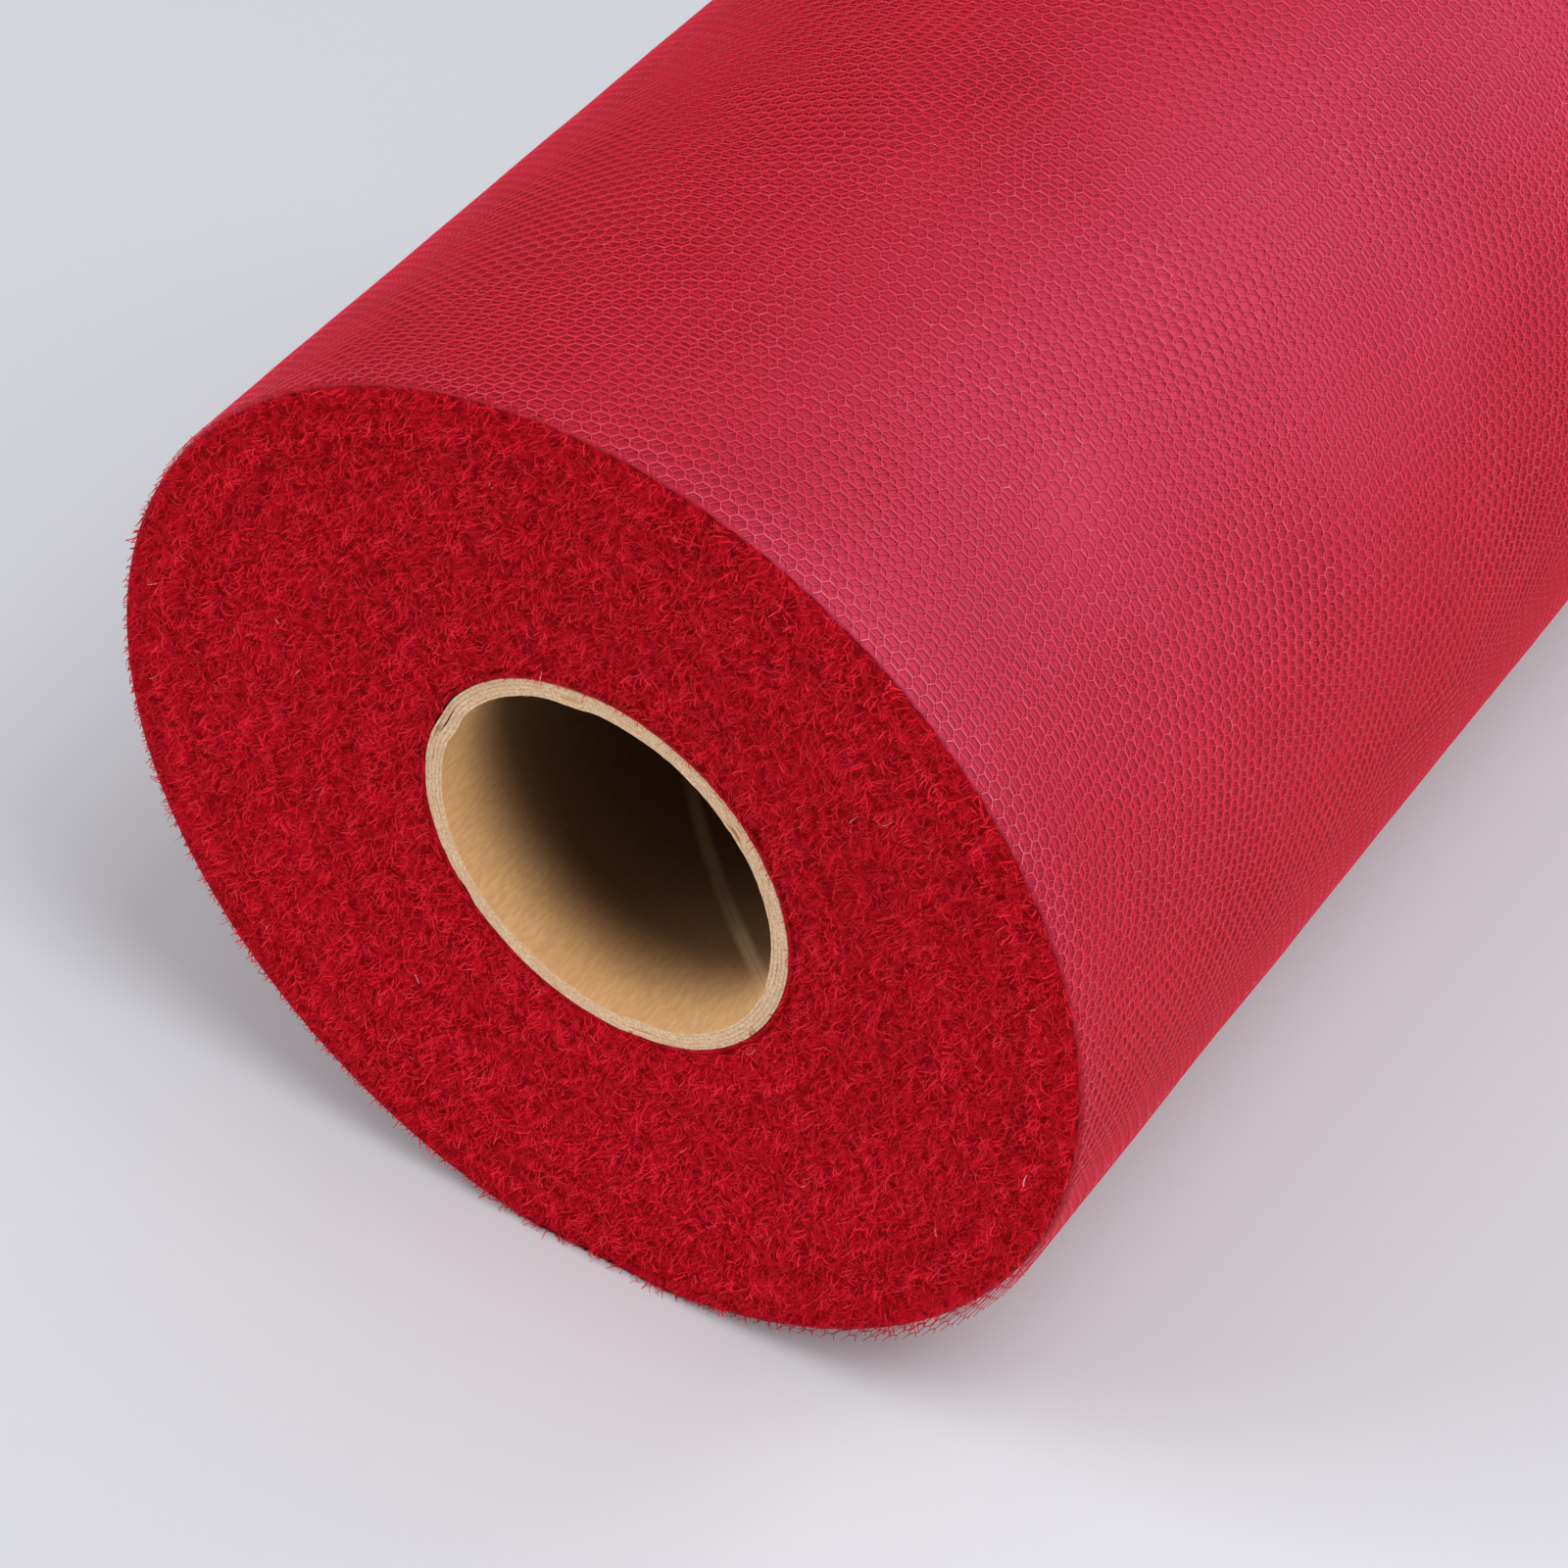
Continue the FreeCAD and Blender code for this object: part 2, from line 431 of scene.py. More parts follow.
def faceTone(tree, place):
    # how far from the middle of the roll, and a ring pattern that is soft and uneven
    x, _, z = splitVector(tree, place)
    reach = calc(tree, "SQRT", squareSum(tree, x, calc(tree, "SUBTRACT", z, axisHeight)))
    wander = calc(tree, "MULTIPLY", cloud(tree, place, 60.0, 1.0), 1.2 * mm)
    rings = cloud(tree, joinVector(tree, calc(tree, "ADD", reach, wander), 0.0, 0.0), 420.0, 2.0)
    return reach, rings


def endMatMaterial():
    material, tree, shader = newMaterial("cutEdgeMat", Roughness=0.9)
    shader.inputs["Specular IOR Level"].default_value = 0.05
    place = newNode(tree, "ShaderNodeTexCoord").outputs["Object"]
    _, rings = faceTone(tree, place)
    clumps = cloud(tree, place, 900.0, 3.0, 0.6)
    # painted shade: the gaps between the fibre clumps are coloured darker, for the shade down between them
    colour = mixColour(tree, ramp(tree, clumps, 0.38, 0.62), hexColour(fibreColours["gap"]),
                       hexColour(fibreColours["dark"]))
    colour = mixColour(tree, ramp(tree, rings, 0.45, 0.65, 0.0, 0.4), colour, hexColour(fibreColours["gap"]))
    tree.links.new(colour, shader.inputs["Base Color"])
    addBump(tree, shader, clumps, 0.4 * mm, 1.0)
    return material


def fibreMaterial():
    material, tree, shader = newMaterial("cutFibres", Roughness=0.6)
    shader.inputs["Specular IOR Level"].default_value = 0.12
    place = newNode(tree, "ShaderNodeTexCoord").outputs["Object"]
    reach, rings = faceTone(tree, place)
    tone = newNode(tree, "ShaderNodeAttribute", attribute_name="tone").outputs["Fac"]
    colour = mixColour(tree, ramp(tree, tone, 0.25, 0.5), hexColour(fibreColours["dark"]),
                       hexColour(fibreColours["middle"]))
    colour = mixColour(tree, ramp(tree, tone, 0.5, 0.85), colour, hexColour(fibreColours["light"]))
    colour = mixColour(tree, ramp(tree, rings, 0.42, 0.62, 0.0, 0.7), colour, hexColour(fibreColours["dark"]))
    rim = ramp(tree, reach, woundOuter - 3.5 * mm, woundOuter - 2.2 * mm, 0.0, 0.6)
    colour = mixColour(tree, rim, colour, hexColour(fibreColours["rim"]))
    tree.links.new(colour, shader.inputs["Base Color"])
    return material


def netThreadMaterial(name, colourName, paintedGlintColour):
    material, tree, shader = newMaterial(name, Roughness=0.42)
    shader.inputs["Specular IOR Level"].default_value = 0.22
    place = newNode(tree, "ShaderNodeTexCoord").outputs["Object"]
    patches = cloud(tree, place, 45.0, 2.0)
    glints = cloud(tree, place, 1400.0, 1.0)
    # painted sheen: more pale threads and a paler red in the band where the key light's highlight falls
    slack = paintedSheenShare(tree, place)
    # painted highlight: the pale colour is painted on the threads in small spots where the glossy nylon would
    # glint
    share = calc(tree, "MULTIPLY", ramp(tree, patches, 0.3, 0.7, 0.05, 0.55),
                 ramp(tree, glints, 0.5, 0.75, 0.05, 1.0))
    # painted highlight: the threads are painted paler within 6 mm of the near rim, where light shines through
    # and off them
    edge = ramp(tree, splitVector(tree, place)[1], rimNear + 6 * mm, rimNear, 0.0, 0.5)
    share = calc(tree, "MAXIMUM", share, calc(tree, "MULTIPLY", edge, ramp(tree, glints, 0.3, 0.7, 0.2, 1.0)))
    share = calc(tree, "MULTIPLY", share, calc(tree, "MULTIPLY_ADD", slack, 0.7, 0.3))
    colour = mixColour(tree, calc(tree, "MULTIPLY", slack, 0.33), hexColour(colourName),
                       hexColour(woundColours["slack"]))
    colour = mixColour(tree, share, colour, hexColour(paintedGlintColour))
    tree.links.new(colour, shader.inputs["Base Color"])
    return material


def lintMaterial():
    material, tree, shader = newMaterial("paleLint", Roughness=0.5)
    place = newNode(tree, "ShaderNodeTexCoord").outputs["Object"]
    colour = mixColour(tree, cloud(tree, place, 800.0), hexColour("e07a88"), hexColour("f6c3c8"))
    tree.links.new(colour, shader.inputs["Base Color"])
    return material


woundNetting = woundSideMaterial()
cutEdgeMat = endMatMaterial()
cutFibres = fibreMaterial()
paleLint = lintMaterial()
# painted highlight: the last colour of each is the pale glint colour painted on its threads
outerThreads = netThreadMaterial("outerThreads", "cc1a36", "e2849c")
# painted shade: the turn below gets a darker red and a duller glint colour than the outer turn, for the shade
# it lies in
underThreads = netThreadMaterial("underThreads", "c6142e", "d03e5a")


# ---- the wound body under the last turn

coreFlare = {
    "outward": 1.15 * mm,         # the core's near end is knocked a little out of round
    "middle": -62.0,              # degrees
    "halfWidth": 48.0,
    "inward": 0.45 * mm,          # and in again at its side
    "inwardMiddle": 178.0,        # degrees
    "inwardHalfWidth": 40.0,
    "reach": 9 * mm,              # along the core from its near end
}


def gap(angle, middle):
    # how far apart two angles are, in degrees
    return abs((angle - middle + 180) % 360 - 180)


def flareAt(degrees, y):
    size = coreFlare
    fade = math.exp(-max(0.0, y - coreNear) / size["reach"])
    out = size["outward"] * math.exp(-(gap(degrees, size["middle"]) / size["halfWidth"]) ** 2)
    side = size["inward"] * math.exp(-(gap(degrees, size["inwardMiddle"]) / size["inwardHalfWidth"]) ** 2)
    return (out - side) * fade


woundBody = {
    "segments": 540,
    "faceRings": 62,
    "farRings": 40,
    "sideRows": 56,
    "innerRows": 8,
    "rimLand": 3.0 * mm,
    "rimRound": 0.35 * mm,
    "matDepth": 0.28 * mm,
    "ringDepth": 0.16 * mm,
    "ridgeDepth": 0.07 * mm,
    "underTurn": 0.36 * mm,       # the soft layers press out this close to the last turn
    "lowest": 0.3 * mm,
    "bandRing": 0.5 * mm,         # the last smooth ring of netting, past the round corner
    "bandWidth": 0.65 * mm,       # where the uneven side starts
}
bodyRadius = rollRadius - woundBody["underTurn"]


def dishDepth(reach):
    # 1 at the core and 0 on the land at the rim
    land = woundOuter - woundBody["rimLand"]
    return np.clip((land - reach) / (land - woundInner), 0, 1)


def noiseAt(x, y, z):
    return noise.noise(Vector((x, y, z)))


def makeWoundBody(size):
    inner, outer, rimRound = woundInner, bodyRadius, size["rimRound"]
    bandEdge = outer - 0.02 * mm
    recess = coreNear - rimNear
    faceReach = np.linspace(inner, outer - rimRound, size["faceRings"])
    farReach = np.linspace(outer - rimRound, inner, size["farRings"])
    profile = [(r, rimNear + recess * dishDepth(r), "near") for r in faceReach]
    corner = np.radians([30, 60])
    profile += [(outer - rimRound * (1 - math.sin(a)), rimNear + rimRound * (1 - math.cos(a)), "rim")
                for a in corner]
    profile += [(bandEdge, rimNear + rimRound + size["bandRing"], "rim")]
    band = rimRound + size["bandWidth"]
    profile += [(outer, y, "side") for y in np.linspace(rimNear + band, rimFar - band, size["sideRows"])]
    profile += [(bandEdge, rimFar - rimRound - size["bandRing"], "rim")]
    profile += [(outer - rimRound * (1 - math.cos(a)), rimFar - rimRound * (1 - math.sin(a)), "rim")
                for a in corner]
    profile += [(r, rimFar + (coreFar - rimFar) * dishDepth(r), "far") for r in farReach]
    profile += [(inner, y, "inner") for y in np.linspace(coreFar, coreNear, size["innerRows"] + 2)[1:-1]]
    count, segments = len(profile), size["segments"]
    angles = np.linspace(0, 2 * math.pi, segments, endpoint=False)
    points = []
    for r, y, zone in profile:
        ring = noiseAt(r / (1.1 * mm), 3.0, 0) + 0.6 * noiseAt(r / (0.45 * mm), 9.0, 0)
        for a in angles:
            pushed = r
            if zone in ("near", "far", "inner"):
                pushed = r + flareAt(math.degrees(a), y) * math.exp(-(r - inner) / (5 * mm))
            x, z = pushed * math.cos(a), pushed * math.sin(a)
            outward = {"near": -1, "far": 1}.get(zone, 0)
            if outward:
                lump = noiseAt(x / (1.1 * mm), z / (1.1 * mm), outward)
                fine = noiseAt(x / (0.5 * mm), z / (0.5 * mm), outward)
                fade = min(1.0, (outer - r) / (0.8 * mm) + 0.25)
                depth = size["matDepth"] * (lump + 0.5 * fine) * fade + size["ringDepth"] * ring
                points.append((x, y + outward * (depth - 0.2 * mm), z))
            elif zone == "side":
                ridge = noiseAt(a * 22, y / (60 * mm), 5.0) + 0.5 * noiseAt(a * 60, y / (40 * mm), 1.0)
                reach = r - 0.05 * mm + size["ridgeDepth"] * ridge
                points.append((reach * math.cos(a), y, reach * math.sin(a)))
            else:
                points.append((x, y, z))
    points = np.array(points)
    points[:, 2] = np.maximum(points[:, 2] + axisHeight, size["lowest"])
    faces, zones = [], []
    for i in range(count):
        j = (i + 1) % count
        for k in range(segments):
            m = (k + 1) % segments
            faces.append((i * segments + k, j * segments + k, j * segments + m, i * segments + m))
            zones.append(profile[i][2] if profile[i][2] == profile[j][2] else "rim")
    piece = newPiece("wound_layers", points, faces, [woundNetting, cutEdgeMat])
    mesh = piece.data
    mesh.polygons.foreach_set("material_index", [1 if zone in ("near", "far") else 0 for zone in zones])
    web = mesh.uv_layers.new(name="web")
    uv = np.zeros((len(faces), 4, 2))
    k = np.tile(np.arange(segments), count)
    arc = 2 * math.pi * rollRadius / segments
    uv[:, 0, 0] = uv[:, 1, 0] = k * arc
    uv[:, 2, 0] = uv[:, 3, 0] = (k + 1) * arc
    ys = points[np.array(faces), 1]
    uv[:, :, 1] = ys
    web.data.foreach_set("uv", uv.ravel())
    return piece


body = makeWoundBody(woundBody)
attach(body, "roll")
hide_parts("net_wound_layers")
print("wound layers made")


# ---- one stitch of the net, repeated by Geometry Nodes

def makeStitch(name):
    # a straight thread and the two legs that leave its end; each thread is a ribbon with a raised middle
    straight = rowPitch * net["straightShare"]
    start, knot = (0.0, 0.0), (straight, 0.0)
    legs = [(rowPitch, side * net["axialPitch"] / 2) for side in (-1, 1)]
    points, faces = [], []
    for a, b, width in [(start, knot, 1.15), (knot, legs[0], 0.9), (knot, legs[1], 0.9)]:
        dx, dy = b[0] - a[0], b[1] - a[1]
        length = math.hypot(dx, dy)
        half = net["threadWidth"] * width / 2
        nx, ny = -dy / length * half, dx / length * half
        base = len(points)
        for px, py in (a, b):
            points += [(px - nx, py - ny, 0.0), (px, py, net["threadCrown"]), (px + nx, py + ny, 0.0)]
        faces += [(base, base + 3, base + 4, base + 1), (base + 1, base + 4, base + 5, base + 2)]
    stitch = newPiece(name, points, faces)
    stitch.hide_render = True
    return stitch


turns = {
    "looseLength": 44 * mm,           # from the fold to the free edge
    "seamBeforeFold": 8 * mm,         # the lifting piece of netting starts this far before the fold
    "bendHalf": 5 * mm,               # how far each side of the fold the netting bends
    "ragged": 0.9 * mm,
    "hem": 0.20 * mm,                 # how far inside the body's rims the cut edges lie
    "outerGap": 0.12 * mm,
    "underGap": 0.27 * mm,
    "outerLowest": 0.03 * mm,
    "underLowest": 0.15 * mm,
    "outerHang": 1.1 * mm,            # how far the turns hang away from the roll
    "underHang": 0.5 * mm,
    "hangMiddle": -47,                # degrees round the roll
    "hangHalfWidth": 19,
    "hangFade": 45 * mm,              # along the roll from the near edge
    "underTurned": 0.6,               # radians that the turn below starts further on
    "underSeed": 0.7,
}


def netTree():
    tree = bpy.data.node_groups.new("netTurn", "GeometryNodeTree")
    inputs = [
        ("Stitch", "NodeSocketObject"), ("First Row", "NodeSocketInt"), ("Rows", "NodeSocketInt"),
        ("Columns", "NodeSocketInt"), ("First Column", "NodeSocketInt"), ("Radius", "NodeSocketFloat"),
        ("Start Angle", "NodeSocketFloat"), ("End Angle", "NodeSocketFloat"), ("Near", "NodeSocketFloat"),
        ("Far", "NodeSocketFloat"), ("Lowest", "NodeSocketFloat"),
        ("Wave", "NodeSocketFloat"), ("Wobble", "NodeSocketFloat"), ("Ragged", "NodeSocketFloat"),
        ("Stand Off", "NodeSocketFloat"), ("Seed", "NodeSocketFloat"), ("Material", "NodeSocketMaterial"),
    ]
    tree.interface.new_socket("Geometry", in_out="INPUT", socket_type="NodeSocketGeometry")
    for name, kind in inputs:
        tree.interface.new_socket(name, in_out="INPUT", socket_type=kind)
    tree.interface.new_socket("Geometry", in_out="OUTPUT", socket_type="NodeSocketGeometry")
    given = newNode(tree, "NodeGroupInput").outputs
    result = newNode(tree, "NodeGroupOutput")
    pitch = net["axialPitch"]

    # the laid-out web: one point per stitch, every other row half a pitch along
    index = newNode(tree, "GeometryNodeInputIndex").outputs[0]
    rowNumber = calc(tree, "FLOOR", calc(tree, "DIVIDE", index, given["Columns"]))
    rowNumber = calc(tree, "ADD", rowNumber, given["First Row"])
    column = calc(tree, "ADD", calc(tree, "MODULO", index, given["Columns"]), given["First Column"])
    half = calc(tree, "MULTIPLY", calc(tree, "FLOORED_MODULO", rowNumber, 2.0), 0.5)
    around = calc(tree, "MULTIPLY", rowNumber, rowPitch)
    along = calc(tree, "MULTIPLY", calc(tree, "ADD", column, half), pitch)
    grid = newNode(tree, "GeometryNodePoints")
    feed(tree, grid.inputs["Count"], calc(tree, "MULTIPLY", given["Rows"], given["Columns"]))
    feed(tree, grid.inputs["Position"], joinVector(tree, around, along, 0.0))
    stitch = newNode(tree, "GeometryNodeObjectInfo")
    tree.links.new(given["Stitch"], stitch.inputs["Object"])
    copies = newNode(tree, "GeometryNodeInstanceOnPoints")
    tree.links.new(grid.outputs[0], copies.inputs["Points"])
    tree.links.new(stitch.outputs["Geometry"], copies.inputs["Instance"])
    real = newNode(tree, "GeometryNodeRealizeInstances")
    tree.links.new(copies.outputs[0], real.inputs[0])

    # where each point of the web lies: drift of the rows, uneven holes
    flat = newNode(tree, "GeometryNodeInputPosition").outputs[0]
    seeded = newNode(tree, "ShaderNodeVectorMath", operation="ADD")
    feed(tree, seeded.inputs[0], flat)
    feed(tree, seeded.inputs[1], joinVector(tree, 0.0, 0.0, given["Seed"]))
    uneven = cloud(tree, seeded.outputs[0], 420.0, 1.0, output=1)
    ux, uy, _ = splitVector(tree, uneven)
    slack = cloud(tree, seeded.outputs[0], 55.0, 2.0, output=1)
    sx, _, sz = splitVector(tree, slack)
    u, v, w = splitVector(tree, flat)
    y = calc(tree, "ADD", v, given["Near"])
    wave = calc(tree, "SINE", calc(tree, "MULTIPLY", v, 2 * math.pi / net["waveLength"]))
    u = calc(tree, "MULTIPLY_ADD", wave, given["Wave"], u)
    u = calc(tree, "MULTIPLY_ADD", calc(tree, "SUBTRACT", ux, 0.5), given["Wobble"], u)
    u = calc(tree, "MULTIPLY_ADD", calc(tree, "SUBTRACT", sx, 0.5), net["drift"], u)
    y = calc(tree, "MULTIPLY_ADD", calc(tree, "SUBTRACT", uy, 0.5), given["Wobble"], y)
    angle = calc(tree, "ADD", given["Start Angle"], calc(tree, "DIVIDE", u, rollRadius))

    # loose where it hangs at the lower right, most of all at the near edge
    lean = calc(tree, "SUBTRACT", angle, math.radians(turns["hangMiddle"]))
    lean = calc(tree, "WRAP", lean, math.pi, -math.pi)
    lean = calc(tree, "POWER", calc(tree, "DIVIDE", lean, math.radians(turns["hangHalfWidth"])), 2.0)
    hang = calc(tree, "EXPONENT", calc(tree, "MULTIPLY", lean, -1.0))
    nearness = calc(tree, "EXPONENT", calc(tree, "DIVIDE", v, -turns["hangFade"]))
    hang = calc(tree, "MULTIPLY", hang, calc(tree, "MULTIPLY_ADD", nearness, 0.75, 0.25))
    loose = calc(tree, "MULTIPLY", given["Stand Off"], hang)
    reach = calc(tree, "ADD", calc(tree, "ADD", given["Radius"], w), loose)
    reach = calc(tree, "MULTIPLY_ADD", calc(tree, "SUBTRACT", sz, 0.5), net["lumps"], reach)
    x = calc(tree, "MULTIPLY", reach, calc(tree, "COSINE", angle))
    z = calc(tree, "MULTIPLY_ADD", reach, calc(tree, "SINE", angle), axisHeight)
    z = calc(tree, "MAXIMUM", z, calc(tree, "ADD", given["Lowest"], w))

    # cut edges: past these the threads are gone, a little unevenly
    cut = calc(tree, "SUBTRACT", cloud(tree, seeded.outputs[0], 900.0, 2.0), 0.5)
    cut = calc(tree, "MULTIPLY", cut, given["Ragged"])
    nearCut = calc(tree, "ADD", given["Near"], calc(tree, "ADD", cut, turns["hem"]))
    farCut = calc(tree, "ADD", given["Far"], calc(tree, "SUBTRACT", cut, turns["hem"]))
    tests = [
        calc(tree, "LESS_THAN", y, nearCut),
        calc(tree, "GREATER_THAN", y, farCut),
        calc(tree, "LESS_THAN", angle, given["Start Angle"]),
        calc(tree, "GREATER_THAN", angle, given["End Angle"]),
    ]
    gone = tests[0]
    for test in tests[1:]:
        gone = calc(tree, "ADD", gone, test)
    wrap = newNode(tree, "GeometryNodeSetPosition")
    trim = newNode(tree, "GeometryNodeDeleteGeometry", domain="FACE")
    tree.links.new(real.outputs[0], trim.inputs[0])
    tree.links.new(calc(tree, "GREATER_THAN", gone, 0.5), trim.inputs["Selection"])
    tree.links.new(trim.outputs[0], wrap.inputs[0])
    tree.links.new(joinVector(tree, x, y, z), wrap.inputs["Position"])
    paint = newNode(tree, "GeometryNodeSetMaterial")
    tree.links.new(wrap.outputs[0], paint.inputs[0])
    tree.links.new(given["Material"], paint.inputs["Material"])
    tree.links.new(paint.outputs[0], result.inputs[0])
    return tree


def runTree(name, tree, **values):
    # the tree's result as a plain mesh of its own
    carrier = bpy.data.objects.new(name, bpy.data.meshes.new(name))
    bpy.context.scene.collection.objects.link(carrier)
    modifier = carrier.modifiers.new("nodes", "NODES")
    modifier.node_group = tree
    for item in tree.interface.items_tree:
        if item.in_out == "INPUT" and item.name.replace(" ", "") in values:
            modifier[item.identifier] = values[item.name.replace(" ", "")]
    bpy.context.view_layer.update()
    evaluated = carrier.evaluated_get(bpy.context.evaluated_depsgraph_get())
    mesh = bpy.data.meshes.new_from_object(evaluated)
    carrier.modifiers.remove(modifier)
    carrier.data = mesh
    mesh.name = name
    print(f"{name}: {sum(len(p.vertices) - 2 for p in mesh.polygons)} triangles")
    return carrier


netTurn = netTree()
stitch = makeStitch("stitch")
columns = math.ceil((rimFar - rimNear) / net["axialPitch"]) + 3
nearColumns = columns // 2

freeAngle = foldAngle + turns["looseLength"] / rollRadius
outerStart = freeAngle - 2 * math.pi
outerEnd = foldAngle - turns["seamBeforeFold"] / rollRadius


def layNet(name, columnSpan, angles, radius, lowest, standOff, seed, material):
    # part of one turn of the web, between two angles, over some of the stitch columns
    first, last = columnSpan
    start, end = angles
    rows = math.ceil((end - start) * rollRadius / rowPitch) + 10
    piece = runTree(
        name, netTurn, Stitch=stitch, FirstRow=-5, Rows=rows, FirstColumn=first, Columns=last - first,
        Radius=radius, StartAngle=start, EndAngle=end, Near=rimNear, Far=rimFar, Lowest=lowest,
        Wave=net["wave"], Wobble=net["wobble"], Ragged=turns["ragged"], StandOff=standOff, Seed=seed,
        Material=material)
    return piece


underStart = outerStart + turns["underTurned"]
for half, span in (("near", (-1, nearColumns)), ("far", (nearColumns, columns - 1))):
    under = layNet(f"under_turn_{half}", span, (underStart, underStart + 2 * math.pi),
                   rollRadius - turns["underGap"], turns["underLowest"], turns["underHang"],
                   turns["underSeed"], underThreads)
    outer = layNet(f"outer_turn_{half}", span, (outerStart, outerEnd),
                   rollRadius - turns["outerGap"], turns["outerLowest"], turns["outerHang"],
                   0.0, outerThreads)
    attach(under, "roll")
    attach(outer, "roll")
    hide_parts("net_outer_turn")

looseEnd = layNet("loose_end", (-1, columns - 1), (outerEnd, freeAngle),
                  rollRadius - turns["outerGap"], turns["outerLowest"], 0.0, 0.0, outerThreads)
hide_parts("net_loose_end")
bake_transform(looseEnd)
print("netting turns made")


# ---- cut thread ends over both end faces

fibres = {
    "length": 1.15 * mm,
    "width": 0.11 * mm,
    "curl": 0.5 * mm,
    "nearDensity": 3.9,           # per square millimetre, in each of two pieces
    "farDensity": 2.6,
    "lay": 1.0,                   # how far neighbours lean the same way
    "spread": 0.75,
    "lift": 0.55,
    "rimClear": 0.3 * mm,         # no roots closer than this to the body's edge
    "smallest": 0.5,
    "largest": 1.25,
}
lint = {
    "density": 0.006,             # per square millimetre
    "lay": 0.6,
    "spread": 1.0,
    "lift": 0.9,
    "smallest": 0.5,
    "largest": 1.0,
}


def makeFibre(size):
    # a short curled ribbon, root at the origin, growing along Z
    points = []
    for step, share in enumerate(np.linspace(0, 1, 4)):
        half = size["width"] / 2 * (1.0 - 0.45 * share)
        bend = size["curl"] * share ** 2
        rise = size["length"] * (share - 0.22 * share ** 3)
        points += [(bend, -half, rise), (bend + 0.02 * mm * step, half, rise)]
    fibre = newPiece("fibre", points, [(i, i + 1, i + 3, i + 2) for i in (0, 2, 4)])
    fibre.hide_render = True
    return fibre


